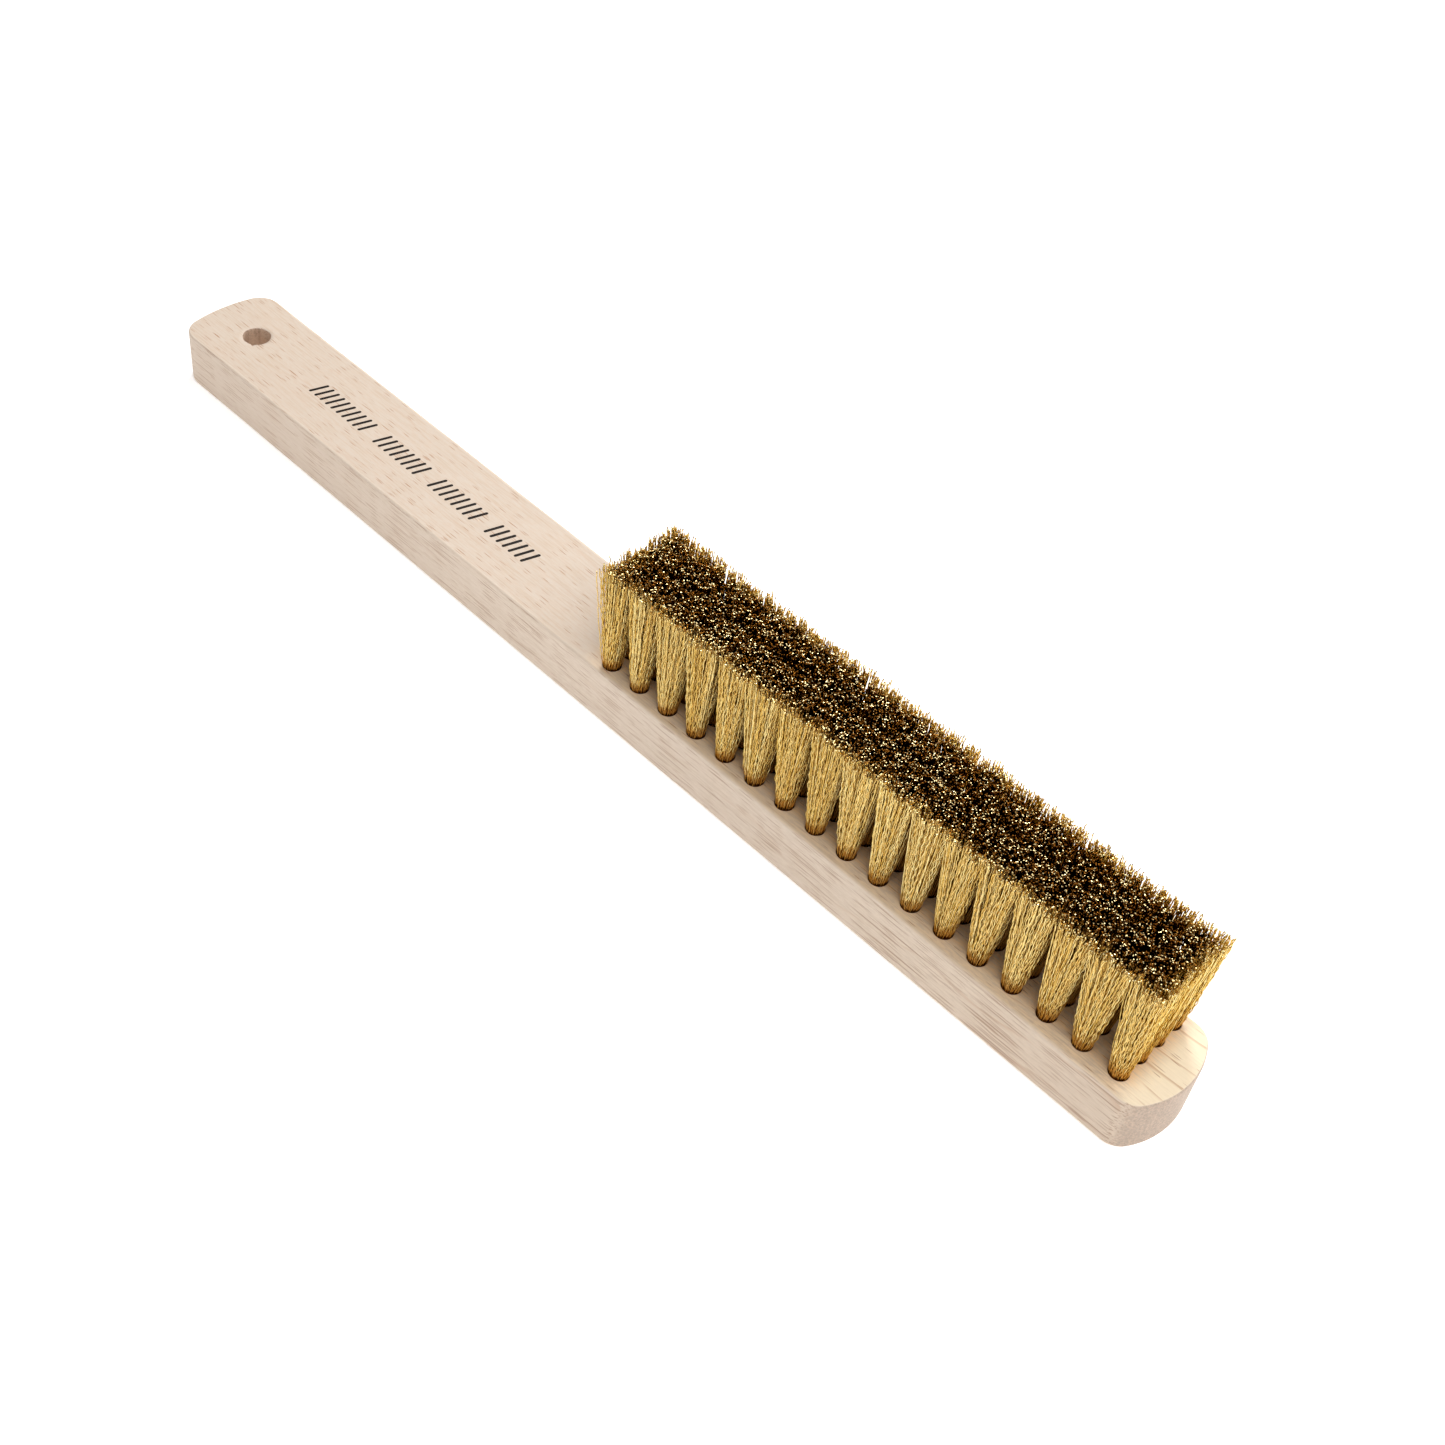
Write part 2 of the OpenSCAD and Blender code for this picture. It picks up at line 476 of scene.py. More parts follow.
HANG_D = 5.8
HANG_X = 13.0  # from the handle's end to the middle of the hanging hole
HANG_CENTRE = np.array([-BLOCK_LENGTH / 2 + HANG_X, 0.0])
HANG_SIDES = 72
HANG_RIM = 0.9  # width of the flat strip round the hanging hole
HANG_RAGGEDNESS = 0.10  # how far its rims wander in and out
CHIP_BEARING = math.radians(308)  # towards the head and the near edge
CHIP_SPREAD = 0.10  # half of the splinter's width round the rim, in radians
CHIP_DEPTH = 0.55  # how far the splinter reached out from the bore

TUFT_HOLE_D = 3.6
TUFT_HOLE_DEPTH = 8.0
TUFT_HOLE_SIDES = 36
TUFT_RIM = 0.28  # width of the flat strip round a tuft hole
DRILL_POINT_ANGLE = 118
DRILL_POINT_H = TUFT_HOLE_D / 2 / math.tan(math.radians(DRILL_POINT_ANGLE / 2))
DRILL_TIP_R = 0.1

GRID_STEP = 4.0  # spacing of the loose points in the flat faces
GRID_LINES = (-7.5, -2.5, 2.5, 7.5)
GRID_CLEARANCE = 0.8


def arc(centre, radius, start, end, step):
    """Points and outward directions along an arc, without its last point. Angles are in degrees."""
    count = math.ceil(abs(math.radians(end - start)) * radius / step)
    angles = np.radians(np.linspace(start, end, count, endpoint=False))
    outward = np.column_stack([np.cos(angles), np.sin(angles)])
    return centre + outward * radius, outward


def end_outline(arc_r, corner_r):
    """One end of the outline, laid at the head, anticlockwise from below, and where its corners start."""
    side_y = BLOCK_WIDTH / 2 - corner_r
    bearing = math.degrees(math.asin(side_y / (arc_r - corner_r)))
    corner_x = BLOCK_LENGTH / 2 - arc_r + (arc_r - corner_r) * math.cos(math.radians(bearing))
    end_x = BLOCK_LENGTH / 2 - arc_r
    parts = [
        arc((corner_x, -side_y), corner_r, -90, -bearing, CORNER_STEP),
        arc((end_x, 0), arc_r, -bearing, bearing, END_STEP),
        arc((corner_x, side_y), corner_r, bearing, 90, CORNER_STEP),
    ]
    return np.vstack([p for p, _ in parts]), np.vstack([n for _, n in parts]), corner_x


def block_outline():
    """The block's outline and its outward directions, anticlockwise from above."""
    head, head_out, head_x = end_outline(HEAD_ARC_R, HEAD_CORNER_R)
    tail, tail_out, tail_x = end_outline(HANDLE_ARC_R, HANDLE_CORNER_R)
    count = round((head_x + tail_x) / SIDE_STEP)
    run = np.linspace(head_x, -tail_x, count, endpoint=False)
    far = np.column_stack([run, np.full(count, BLOCK_WIDTH / 2)])
    near = np.column_stack([-run + head_x - tail_x, np.full(count, -BLOCK_WIDTH / 2)])
    points = np.vstack([head, far, -tail, near])
    outward = np.vstack([head_out, np.tile((0, 1), (count, 1)), -tail_out, np.tile((0, -1), (count, 1))])
    return points, outward


def rounding(radius):
    """Insets and drops of the rings down a rounded edge, from the flat face to the wall."""
    turns = np.linspace(0, math.pi / 2, EDGE_STEPS)
    return [(radius * (1 - math.sin(t)), radius * (1 - math.cos(t))) for t in turns]


def round_points(centre, radius, angles):
    """Points round a centre. radius is one number, or one for each angle."""
    return np.column_stack([centre[0] + radius * np.cos(angles), centre[1] + radius * np.sin(angles)])


def block_walls(shell):
    """The outside of the block, with rounded edges. Returns its rings from the back face to the top."""
    outline, outward = block_outline()
    # The long edges were broken by hand, so their width wanders. The sawn ends stayed crisp.
    places = outline / EDGE_WANDER_SIZE
    wander = np.array([EDGE_WANDER * noise.noise(Vector((x, y, 3.1))) for x, y in places])
    crisp = np.clip((np.abs(outline[:, 0]) - BLOCK_LENGTH / 2 + CRISP_START) / CRISP_RUN, 0, 1)
    worn = (1 + wander - END_CRISPNESS * crisp)[:, None]

    def inset(distance, level):
        return shell.ring(outline - outward * distance * worn, level)

    steps = rounding(EDGE_R)
    back = inset(EDGE_R + HOLD, 0)
    top = inset(EDGE_R + HOLD, BLOCK_TOP)
    low = [inset(distance, drop) for distance, drop in steps]
    high = [inset(distance, BLOCK_TOP - drop) for distance, drop in reversed(steps)]
    rings = [back, *low, *high, top]
    shell.stack(rings)
    return rings


def hang_hole(shell):
    """A through hole with ragged rims. Returns its rings from the top face down."""
    angles = np.linspace(0, 2 * math.pi, HANG_SIDES, endpoint=False)
    rough = np.array([noise.noise(Vector((math.cos(a) * 4, math.sin(a) * 4, 8.0))) for a in angles])
    # One splinter is gone from the rim
    chip = np.exp(-(((angles - CHIP_BEARING) / CHIP_SPREAD) ** 2)) * CHIP_DEPTH
    ragged = HANG_RAGGEDNESS * rough + chip

    # How far each ring stands out from the bore, its level, and its share of the raggedness
    stations = [
        (HANG_RIM, BLOCK_TOP, 0.0),
        (0.12, BLOCK_TOP, 1.0),
        (0.04, BLOCK_TOP - 0.08, 1.0),
        (0.0, BLOCK_TOP - 0.35, 0.8),
        (0.0, BLOCK_TOP - 1.2, 0.1),
        (0.0, BLOCK_TOP / 2, 0.1),
        (0.0, 0.35, 0.3),
        (0.04, 0.08, 0.5),
        (0.12, 0.0, 0.5),
        (HANG_RIM, 0.0, 0.0),
    ]
    rings = []
    for extra, level, share in stations:
        radius = HANG_D / 2 + extra + share * ragged
        rings.append(shell.ring(round_points(HANG_CENTRE, radius, angles), level))
    shell.stack(rings)
    return rings


def tuft_hole(shell, centre):
    """A blind hole with a softened rim and a drill point. Returns its rings from the top face down."""
    angles = np.linspace(0, 2 * math.pi, TUFT_HOLE_SIDES, endpoint=False)
    bore = TUFT_HOLE_D / 2
    bottom = BLOCK_TOP - TUFT_HOLE_DEPTH
    stations = [
        (bore + TUFT_RIM, BLOCK_TOP),
        (bore + 0.10, BLOCK_TOP),
        (bore + 0.03, BLOCK_TOP - 0.04),
        (bore, BLOCK_TOP - 0.14),
        (bore, BLOCK_TOP - 1.5),
        (bore, bottom),
        (DRILL_TIP_R, bottom - DRILL_POINT_H * (1 - DRILL_TIP_R / bore)),
    ]
    rings = [shell.ring(round_points(centre, radius, angles), level) for radius, level in stations]
    shell.stack(rings)
    shell.faces.append(tuple(map(int, rings[-1])))
    return rings


def inner_radius(radius, sides):
    """Radius of the circle that fits inside a polygon whose corners lie at the given radius."""
    return radius * math.cos(math.pi / sides)


def loose_points(discs):
    """A grid of points on a flat face, clear of the holes."""
    reach = BLOCK_LENGTH / 2 - HEAD_ARC_R
    grid = [(x, y) for x in np.arange(-reach, reach, GRID_STEP) for y in GRID_LINES]
    return [
        point
        for point in grid
        if all(np.linalg.norm(np.array(point) - centre) > radius + GRID_CLEARANCE for centre, radius in discs)
    ]


def mark_points(mesh, name, rings):
    """A point attribute that is 1 on the rings and 0 elsewhere."""
    values = np.zeros(len(mesh.vertices), np.float32)
    values[np.concatenate(rings)] = 1.0
    mesh.attributes.new(name, "FLOAT", "POINT").data.foreach_set("value", values)


def wooden_block():
    shell = Shell()
    walls = block_walls(shell)
    hang = hang_hole(shell)
    centres = [tuft_centre(row, tuft) for row in range(1, ROWS + 1) for tuft in range(1, TUFTS + 1)]
    holes = [tuft_hole(shell, centre) for centre in centres]

    discs = [(HANG_CENTRE, inner_radius(HANG_D / 2 + HANG_RIM, HANG_SIDES))]
    discs += [(centre, inner_radius(TUFT_HOLE_D / 2 + TUFT_RIM, TUFT_HOLE_SIDES)) for centre in centres]
    grid = loose_points(discs)
    shell.cap(walls[-1], [hang[0], *(hole[0] for hole in holes)], discs, grid, up=True)
    shell.cap(walls[0], [hang[-1]], discs[:1], grid, up=False)

    made = shell.mesh("wooden_block_sanded")
    # sanded marks the rounded edges, which get sanding wear and a painted highlight
    mark_points(made, "sanded", walls[1:-1])
    # bored marks the hole walls, which get painted shade
    mark_points(made, "bored", hang[3:-3] + [ring for hole in holes for ring in hole[3:]])
    made.shade_smooth()
    made.set_sharp_from_angle(angle=math.radians(50))
    piece = new_piece("wooden_block_sanded", made, beech_look())
    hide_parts("wooden_block")


# ---- The print on the handle ----

PRINT_X = (-95.3, -27.5)
PRINT_Y = (-2.55, 1.75)
PRINT_LIFT = 0.012
STROKE_WIDTH = 0.68
STROKE_END_STEP = 0.08
STROKE_SLANT = 1.1
STROKE_GROUPS = (7, 8, 8, 10)
GROUP_GAP = 1.7  # extra space between groups, in stroke pitches


def stroke_outline(low, high):
    """A straight pen stroke with round ends."""
    low, high = np.array(low), np.array(high)
    forward = (high - low) / np.linalg.norm(high - low)
    heading = math.degrees(math.atan2(forward[1], forward[0]))
    r = STROKE_WIDTH / 2
    head, _ = arc(high - forward * r, r, heading - 90, heading + 90, STROKE_END_STEP)
    tail, _ = arc(low + forward * r, r, heading + 90, heading + 270, STROKE_END_STEP)
    return np.vstack([head, tail])


def print_marks(ink):
    """Plain slanted strokes in groups, where such a brush carries its maker's line."""
    shell = Shell()
    gaps = len(STROKE_GROUPS) - 1
    pitch = (PRINT_X[1] - PRINT_X[0] - STROKE_SLANT) / (sum(STROKE_GROUPS) - 1 + gaps * GROUP_GAP)
    x = PRINT_X[1]
    for group in STROKE_GROUPS:
        for _ in range(group):
            outline = stroke_outline((x - STROKE_SLANT, PRINT_Y[0]), (x, PRINT_Y[1]))
            low = shell.ring(outline, BLOCK_TOP - PRINT_LIFT)
            high = shell.ring(outline, BLOCK_TOP + PRINT_LIFT)
            shell.stack([low, high])
            shell.faces.append(tuple(map(int, high)))
            shell.faces.append(tuple(map(int, low[::-1])))
            x -= pitch
        x -= pitch * GROUP_GAP
    new_piece("print_marks", shell.mesh("print_marks"), ink)


# ---- Brass wire ----

WIRE_R = 0.095
TUFT_R = 1.62
HAIRPINS = 124
ANCHOR_THICKNESS = 0.5
FOLD_DEPTH = 0.55  # how much further below the anchor the outermost wires turn back than the middle ones

# Wires on the outside of the field show from end to end, and have more rings than those inside it
SKIN_RINGS = 42
CORE_RINGS = 9
TIP_CROWDING = 2.2  # above 1, a core wire's rings lie closer together towards its tip

# Where the skin begins, as places in the unit disc of a tuft's roots
SKIN_RADIUS = 0.62
SKIN_SIDE = 0.3
SKIN_END = 0.75

CRIMP_LENGTH = (1.9, 2.7)
CRIMP_HEIGHT = (0.07, 0.15)
CRIMP_START = 0.15  # the share of its height that a crimp has at the block's surface
CRIMP_RUN = 2.5  # how far up it has its full height
SWAY_HEIGHT = 0.12
SWAY_STRETCH = 3.7  # how many times as long as a wire's crimp its sway is
SWAY_RUN = 6.0
WIRE_SIDES = 4
TIP_BURR = 1.35  # a cut end is that many times as wide as the wire
TIP_SLANT = 0.4  # and its edge lies up to that many of its radii off square

# How far the tips of the outermost tufts reach past the tufts' middles
HANDLE_REACH = 3.4
HEAD_REACH = 2.9
SIDE_REACH = 2.15
FLARE = (0.70, 0.95)  # below 1, a tuft widens fastest just above its hole
ROOT_SCATTER = 0.03
TIP_SCATTER = 0.3
BUNCHES = 10
BUNCH_PULL = 0.13  # how far a tip is drawn towards the middle of its bunch
STRAY_SHARE = 0.025
STRAY_SCATTER = 0.75
STRAY_FLARE = (0.4, 0.8)

# The trim: how far the tips' heights differ over the field, from wire to wire and from bunch to bunch
TRIM_DIP = 0.3
TRIM_WAVE = 0.75
TRIM_WAVE_SIZE = 1.3
WIRE_UNEVENNESS = 0.32
BUNCH_UNEVENNESS = 0.2
TRIM_LIMIT = 0.9
PARTING = 1.6  # the deepest that the tips lie along the middle of the field
PARTING_WIDTH = 0.9
PARTING_LENGTH = 7  # size of its patches along the field

OUTER_SPREAD = 2.2  # half of the outermost tufts' width at the tips, as the cover counts it
# Painted shade inside the field: how far in from its outside it begins, and how much further in it becomes
# full
COVER_START = 1.4
COVER_DEPTH = 2.2
COVER_LOW = 0.3  # the cover left at the roots, where light comes in between the tufts
CELLS = np.array([32, 16])  # how many wires lie side by side and one above another in a texture
CELL_END = 0.1  # the share of a wire's cell that each of its cut ends takes


def disc_to_square(p):
    """Moves points of the unit disc to the square from -1 to 1, keeping equal areas equal."""
    x, y = p[:, 0], p[:, 1]
    r = np.hypot(x, y)
    wide = np.abs(x) >= np.abs(y)
    safe_x = np.where(x == 0, 1e-9, x)
    safe_y = np.where(y == 0, 1e-9, y)
    quarter = 4 / math.pi
    a = np.where(wide, np.sign(x) * r, np.sign(y) * r * quarter * np.arctan(x / safe_y))
    b = np.where(wide, np.sign(x) * r * quarter * np.arctan(y / safe_x), np.sign(y) * r)
    return np.column_stack([a, b])


def cell_of(row, tuft):
    """How far a tuft spreads at the tips: lowest and highest corner, from its own middle."""
    half_x = ROW_PITCH / 2
    half_y = TUFT_PITCH / 2
    low = np.array([-half_x, -half_y])
    high = np.array([half_x, half_y])
    if row == 1:
        low[0] = -HANDLE_REACH
    if row == ROWS:
        high[0] = HEAD_REACH
    if tuft == 1:
        low[1] = -SIDE_REACH
    if tuft == TUFTS:
        high[1] = SIDE_REACH
    return low, high


GOLDEN_SHARE = 0.618034


def leg_roots(rng, count):
    """Where one leg of each hairpin leaves the hole, in the unit disc's half with x above 0."""
    radius = np.sqrt((np.arange(count) + 0.5) / count)
    angle = (np.arange(count) * GOLDEN_SHARE % 1.0 - 0.5) * math.pi
    p = np.column_stack([radius * np.cos(angle), radius * np.sin(angle)])
    return p + rng.normal(0, ROOT_SCATTER, p.shape)


def leg_tips(rng, row, tuft, roots):
    """Each tip's place from its tuft's middle, its bunch's number, and True where it strays."""
    low, high = cell_of(row, tuft)
    tips = (low + high) / 2 + disc_to_square(roots) * (high - low) / 2
    tips += rng.normal(0, TIP_SCATTER, tips.shape)
    bunches = rng.uniform(low, high, (BUNCHES, 2))
    own = np.linalg.norm(tips[:, None] - bunches, axis=2).argmin(axis=1)
    tips += (bunches[own] - tips) * BUNCH_PULL
    stray = rng.random(len(roots)) < STRAY_SHARE
    tips[stray] += rng.normal(0, STRAY_SCATTER, (stray.sum(), 2))
    return tips, own, stray


def tip_heights(rng, row, tuft, tips, own):
    """How high each tip stands above the block. In patches, the middle of the field stands lower."""
    trim = TRIM_TOP - BLOCK_TOP
    x0, y0 = tuft_centre(row, tuft)
    size = TRIM_WAVE_SIZE
    wave = [noise.noise(Vector(((x0 + x) / size, (y0 + y) / size, 5.0))) for x, y in tips]
    heights = trim - TRIM_DIP + TRIM_WAVE * np.array(wave)
    heights += rng.normal(0, WIRE_UNEVENNESS, len(tips)) + rng.normal(0, BUNCH_UNEVENNESS, BUNCHES)[own]
    from_middle = tips[:, 1] + (tuft - (TUFTS + 1) / 2) * TUFT_PITCH
    along = x0 + tips[:, 0]
    patchy = np.array([0.6 + noise.noise(Vector((x / PARTING_LENGTH, 0.0, 9.0))) for x in along])
    heights -= PARTING * np.clip(patchy, 0, 1) * np.exp(-((from_middle / PARTING_WIDTH) ** 2))
    return np.minimum(heights, trim + TRIM_LIMIT)


def crimp(rng, up):
    """How far each leg lies off its line: a short wave in one direction, and a long sway in another."""
    count = len(up)
    length = rng.uniform(*CRIMP_LENGTH, count)[:, None]
    # The wave fades out where the wires are squeezed together in the hole
    height = rng.uniform(*CRIMP_HEIGHT, count)[:, None] * np.clip(up / CRIMP_RUN, CRIMP_START, 1.0)
    phase = rng.uniform(0, 2 * math.pi, count)[:, None]
    side = rng.uniform(0, 2 * math.pi, count)[:, None]
    wave = height * np.sin(2 * math.pi * up / length + phase)
    sway = SWAY_HEIGHT * np.sin(2 * math.pi * up / (length * SWAY_STRETCH) + phase * 1.7)
    sway *= np.clip(up / SWAY_RUN, 0, 1)
    return np.dstack([wave * np.cos(side) + sway * np.sin(side), wave * np.sin(side) + sway * np.cos(side)])


def leg_paths(rng, row, tuft, roots, lift):
    """The free stretch of each leg. lift runs from 0 at the block's surface to 1 at the tip."""
    tips, own, stray = leg_tips(rng, row, tuft, roots)
    heights = tip_heights(rng, row, tuft, tips, own)
    count = len(roots)
    bow = np.where(stray, rng.uniform(*STRAY_FLARE, count), rng.uniform(*FLARE, count))
    out = lift[None, :] ** bow[:, None]
    start = roots * TUFT_R
    flat = start[:, None, :] + (tips - start)[:, None, :] * out[:, :, None]
    up = heights[:, None] * lift[None, :]
    return np.dstack([flat + crimp(rng, up), up + BLOCK_TOP])


def sunk_paths(roots):
    """From the surface down past the anchor to the bottom of the fold, where x is 0."""
    half_anchor = ANCHOR_THICKNESS / 2 + WIRE_R
    x = roots[:, 0] * TUFT_R
    y = roots[:, 1] * TUFT_R
    squeezed = np.sign(x) * (half_anchor + np.abs(x) * (1 - half_anchor / TUFT_R))
    bottom = ANCHOR_BOTTOM - WIRE_R - FOLD_DEPTH * np.abs(roots[:, 0])
    stations = [
        (squeezed, y, np.full(len(x), ANCHOR_TOP + 0.4)),
        (squeezed, y, np.full(len(x), ANCHOR_BOTTOM + 0.1)),
        (squeezed * 0.72, y, ANCHOR_BOTTOM - (ANCHOR_BOTTOM - bottom) * 0.65),
        (squeezed * 0.0, y, bottom),
    ]
    return np.stack([np.column_stack(s) for s in stations], axis=1)


def hairpin_paths(rng, row, tuft, roots, rings):
    """Whole wires: a tip, down one side of the anchor, under it and up to the other tip."""
    mirror = roots * (-1, 1)
    lift = np.linspace(0, 1, rings)
    if rings == CORE_RINGS:
        lift = 1 - (1 - lift) ** TIP_CROWDING
    right = leg_paths(rng, row, tuft, roots, lift)[:, ::-1]
    left = leg_paths(rng, row, tuft, mirror, lift)
    down = sunk_paths(roots)
    up = sunk_paths(mirror)[:, ::-1][:, 1:]
    paths = np.concatenate([right, down, up, left], axis=1)
    centre = tuft_centre(row, tuft)
    turned = paths.copy()
    turned[:, :, 0] = centre[0] + paths[:, :, 0] * ALONG[0] + paths[:, :, 1] * ACROSS[0]
    turned[:, :, 1] = centre[1] + paths[:, :, 0] * ALONG[1] + paths[:, :, 1] * ACROSS[1]
    return turned


def tube_points(rng, paths):
    """Rings of points round each path, square to it, with the ends cut off aslant."""
    ahead = np.gradient(paths, axis=1)
    ahead /= np.linalg.norm(ahead, axis=2, keepdims=True)
    across = np.cross(ahead, (0.0, 1.0, 0.0))
    across /= np.linalg.norm(across, axis=2, keepdims=True)
    third = np.cross(ahead, across)
    count, rings = paths.shape[:2]
    turn = rng.uniform(0, 2 * math.pi, (count, 1, 1))
    angle = turn + np.arange(WIRE_SIDES)[None, None, :] * 2 * math.pi / WIRE_SIDES
    angle = np.broadcast_to(angle, (count, rings, WIRE_SIDES))[..., None]
    points = paths[:, :, None, :] + WIRE_R * (
        np.cos(angle) * across[:, :, None, :] + np.sin(angle) * third[:, :, None, :]
    )
    for end in (0, -1):
        middle = paths[:, end, None, :]
        points[:, end] = middle + (points[:, end] - middle) * TIP_BURR
        slant = rng.uniform(-TIP_SLANT, TIP_SLANT, (count, 1, 1)) * WIRE_R * TIP_BURR
        points[:, end] += slant * np.cos(angle[:, end]) * ahead[:, end, None, :]
    return points


def painted_field_shade(paths):
    """How far each point lies inside the field of wires, which sets its painted shade: 0 on its outside, 1
    deep in its top.
    """
    from_middle = paths[:, :, :2] - (ROW_CENTRES[0] + ROW_CENTRES[-1]) / 2
    lift = np.clip((paths[:, :, 2] - BLOCK_TOP) / (TRIM_TOP - BLOCK_TOP), 0, 1)
    reach = TUFT_R + (OUTER_SPREAD - TUFT_R) * lift
    inside_along = field_length / 2 + reach - np.abs(from_middle @ ALONG)
    inside_across = (TUFTS - 1) / 2 * TUFT_PITCH + reach - np.abs(from_middle @ ACROSS)
    depth = np.clip((np.minimum(inside_along, inside_across) - COVER_START) / COVER_DEPTH, 0, 1)
    return depth * (COVER_LOW + (1 - COVER_LOW) * lift)


def tube_faces(count, rings):
    """Quads along each tube and a polygon over each end, as point numbers."""
    wire = np.arange(count)[:, None, None] * rings * WIRE_SIDES
    ring = np.arange(rings - 1)[None, :, None] * WIRE_SIDES
    side = np.arange(WIRE_SIDES)[None, None, :]
    after = (side + 1) % WIRE_SIDES
    base = wire + ring
    above = base + WIRE_SIDES
    quads = np.stack([base + side, base + after, above + after, above + side], axis=-1)
    first = wire[:, 0, :] + np.arange(WIRE_SIDES)[None, ::-1]
    last = wire[:, 0, :] + (rings - 1) * WIRE_SIDES + np.arange(WIRE_SIDES)[None, :]
    return quads.reshape(-1, 4), np.concatenate([first, last])


def tube_places(count, rings, before):
    """Texture places of the same faces. Each wire has a cell, with its cut ends above and below it."""
    u, v = np.meshgrid(np.arange(WIRE_SIDES), np.arange(rings - 1))
    u = (u[..., None] + (0, 1, 1, 0)) / WIRE_SIDES
    v = (v[..., None] + (0, 0, 1, 1)) / (rings - 1)
    tube = np.stack([u, CELL_END + v * (1 - 2 * CELL_END)], axis=-1)
    angle = np.arange(WIRE_SIDES) * 2 * math.pi / WIRE_SIDES
    end = np.column_stack([0.5 + 0.4 * np.cos(angle), CELL_END * (0.45 + 0.4 * np.sin(angle))])
    number = before + np.arange(count)
    corner = np.column_stack([number % CELLS[0], number // CELLS[0]])
    quads = (corner[:, None, None, None, :] + tube) / CELLS
    ends = np.concatenate([corner[:, None, :] + end, corner[:, None, :] + 1 - end]) / CELLS
    return quads.reshape(-1, 2), ends.reshape(-1, 2)


class WireMesh:
    """Gathers tubes of unlike ring counts into one mesh, with a tone for each wire."""

    def __init__(self):
        self.points = []
        self.faces = []
        self.places = []
        self.cuts = []
        self.tones = []
        self.covers = []
        self.wires = 0
        self.total = 0

    def add(self, rng, paths):
        count, rings = paths.shape[:2]
        self.points.append(tube_points(rng, paths).reshape(-1, 3))
        for cut, faces in enumerate(tube_faces(count, rings)):
            self.faces.append(faces + self.total)
            self.cuts.append(np.full(len(faces), cut))
        self.places.extend(tube_places(count, rings, self.wires))
        self.tones.append(np.repeat(rng.random(count), rings * WIRE_SIDES))
        self.covers.append(np.repeat(painted_field_shade(paths).ravel(), WIRE_SIDES))
        self.wires += count
        self.total += count * rings * WIRE_SIDES

    def mesh(self, name):
        points = np.concatenate(self.points) * MM
        corners = np.concatenate([faces.ravel() for faces in self.faces])
        sizes = np.concatenate([np.full(len(faces), faces.shape[1]) for faces in self.faces])
        cuts = np.concatenate(self.cuts)
        made = bpy.data.meshes.new(name)
        made.vertices.add(len(points))
        made.vertices.foreach_set("co", points.astype(np.float32).ravel())
        made.loops.add(len(corners))
        made.loops.foreach_set("vertex_index", corners.astype(np.int32))
        made.polygons.add(len(sizes))
        made.polygons.foreach_set("loop_start", (np.cumsum(sizes) - sizes).astype(np.int32))
        made.polygons.foreach_set("use_smooth", cuts == 0)
        made.update(calc_edges=True)
        for quality, domain, values in (
            ("tone", "POINT", np.concatenate(self.tones)),
            ("painted_field_shade", "POINT", np.concatenate(self.covers)),
            ("cut", "FACE", cuts),
        ):
            held = made.attributes.new(quality, "FLOAT", domain)
            held.data.foreach_set("value", values.astype(np.float32))
        places = np.concatenate(self.places).astype(np.float32)
        made.uv_layers.new(name=EXPORT_MAP).uv.foreach_set("vector", places.ravel())
        return made


def faces_out(row, tuft, roots):
    """True for hairpins with a leg on the outside of the field, where they show from end to end."""
    rim = np.hypot(roots[:, 0], roots[:, 1]) > SKIN_RADIUS
    shown = np.zeros(len(roots), bool)
    if tuft == 1:
        shown |= roots[:, 1] < SKIN_SIDE
    if tuft == TUFTS:
        shown |= roots[:, 1] > -SKIN_SIDE
    if row in (1, ROWS):
        shown |= roots[:, 0] > SKIN_END
    return rim & shown


def tuft_row(row, brass):
    rng = np.random.default_rng(SEED + row)
    wires = WireMesh()
    for tuft in range(1, TUFTS + 1):
        roots = leg_roots(rng, HAIRPINS)
        skin = faces_out(row, tuft, roots)
        for chosen, rings in ((skin, SKIN_RINGS), (~skin, CORE_RINGS)):
            if chosen.any():
                wires.add(rng, hairpin_paths(rng, row, tuft, roots[chosen], rings))
    name = f"tuft_row_{row:02d}_wires"
    piece = new_piece(name, wires.mesh(name), brass)
    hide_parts(f"tuft_row_{row:02d}")


# ---- Anchors ----


def anchor_row(row, steel):
    """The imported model's own mesh, with a material."""
    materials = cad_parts[f"anchor_row_{row:02d}"].data.materials
    materials.clear()
    materials.append(steel)


# ---- Studio ----

CAMERA_TARGET = (26.7, -2.2, 12.0)
CAMERA_DISTANCE = 350.5

# Angles, in degrees
CAMERA_AZIMUTH = 38.47
CAMERA_ELEVATION = 46.09
CAMERA_ROLL = 9.10

CAMERA_LENS = 48.3
SENSOR_WIDTH = 36

LIGHTS_AIM = (40, 0, 10)
LIGHTING_STRENGTH = 0.3
BACKDROP_STRENGTH = 0.67
FLOOR_REACH = 3000
FLOOR_DROP = 0.02  # keeps the floor off the block's back


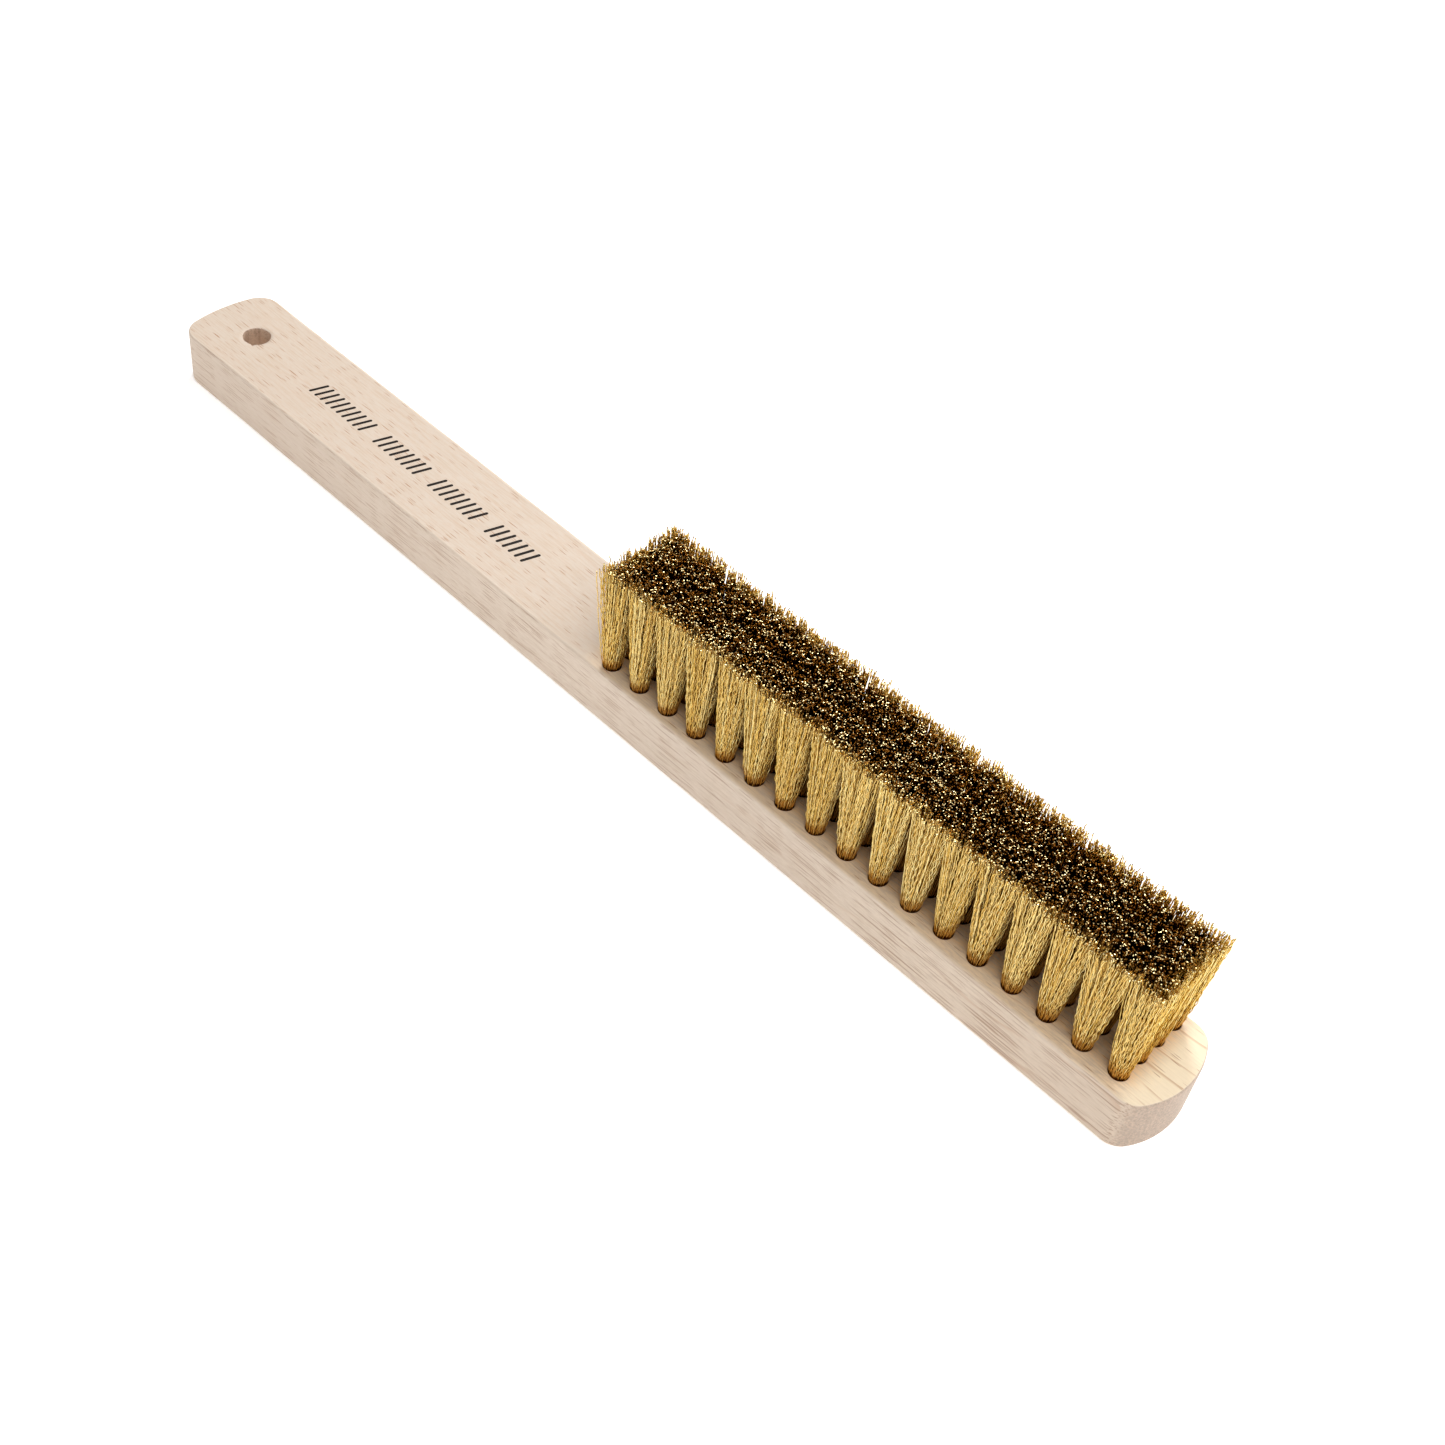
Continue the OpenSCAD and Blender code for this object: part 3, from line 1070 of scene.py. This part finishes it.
def camera():
    """The camera looks down on the brush from the near side of its head, tilted a little to the left."""
    azimuth = math.radians(CAMERA_AZIMUTH)
    elevation = math.radians(CAMERA_ELEVATION)
    roll = math.radians(CAMERA_ROLL)
    back = Vector((
        math.sin(azimuth) * math.cos(elevation),
        -math.cos(azimuth) * math.cos(elevation),
        math.sin(elevation),
    ))
    level = Vector((math.cos(azimuth), math.sin(azimuth), 0))
    over = back.cross(level)
    right = level * math.cos(roll) + over * math.sin(roll)
    up = back.cross(right)
    data = bpy.data.cameras.new("camera")
    data.lens = CAMERA_LENS
    data.sensor_width = SENSOR_WIDTH
    made = bpy.data.objects.new("camera", data)
    place = (Vector(CAMERA_TARGET) + back * CAMERA_DISTANCE) * MM
    made.matrix_world = Matrix.Translation(place) @ Matrix((right, up, back)).transposed().to_4x4()
    bpy.context.scene.collection.objects.link(made)
    bpy.context.scene.camera = made


def panel(name, place, size, watts):
    """A soft square light that is aimed at the brush."""
    data = bpy.data.lights.new(name, "AREA")
    data.shape = "SQUARE"
    data.size = size * MM
    data.energy = watts
    made = bpy.data.objects.new(name, data)
    place = Vector(place)
    made.location = place * MM
    made.rotation_mode = "QUATERNION"
    made.rotation_quaternion = (place - Vector(LIGHTS_AIM)).to_track_quat("Z", "Y")
    bpy.context.scene.collection.objects.link(made)


def backdrop():
    """Seen directly, it is as pale as the far floor. It lights the brush more softly."""
    world = bpy.data.worlds.new("studio")
    world.use_nodes = True
    nodes = world.node_tree.nodes
    links = world.node_tree.links
    background = nodes["Background"]
    background.inputs["Color"].default_value = grey(1.0)
    seen = nodes.new("ShaderNodeLightPath")
    strength = nodes.new("ShaderNodeMapRange")
    strength.inputs["To Min"].default_value = LIGHTING_STRENGTH
    strength.inputs["To Max"].default_value = BACKDROP_STRENGTH
    links.new(seen.outputs["Is Camera Ray"], strength.inputs["Value"])
    links.new(strength.outputs["Result"], background.inputs["Strength"])
    bpy.context.scene.world = world


def floor():
    mesh = bpy.data.meshes.new("floor")
    reach = FLOOR_REACH * MM
    corners = [(-reach, -reach, 0), (reach, -reach, 0), (reach, reach, 0), (-reach, reach, 0)]
    mesh.from_pydata(corners, [], [(0, 1, 2, 3)])
    mesh.materials.append(floor_look())
    made = bpy.data.objects.new("floor", mesh)
    made.location.z = -FLOOR_DROP * MM
    bpy.context.scene.collection.objects.link(made)


def studio():
    backdrop()
    panel("key", (300, -70, 640), 560, 3.2)
    panel("back", (-270, 380, 520), 200, 2.8)
    panel("rim", (320, 480, 220), 240, 0.85)
    panel("fill", (-220, -560, 380), 420, 0.25)
    bpy.context.scene.view_settings.view_transform = "Standard"
    floor()


camera()
studio()
wooden_block()
print_marks(ink_look())
brass = brass_look()
steel = steel_look()
for row in range(1, ROWS + 1):
    tuft_row(row, brass)
    anchor_row(row, steel)
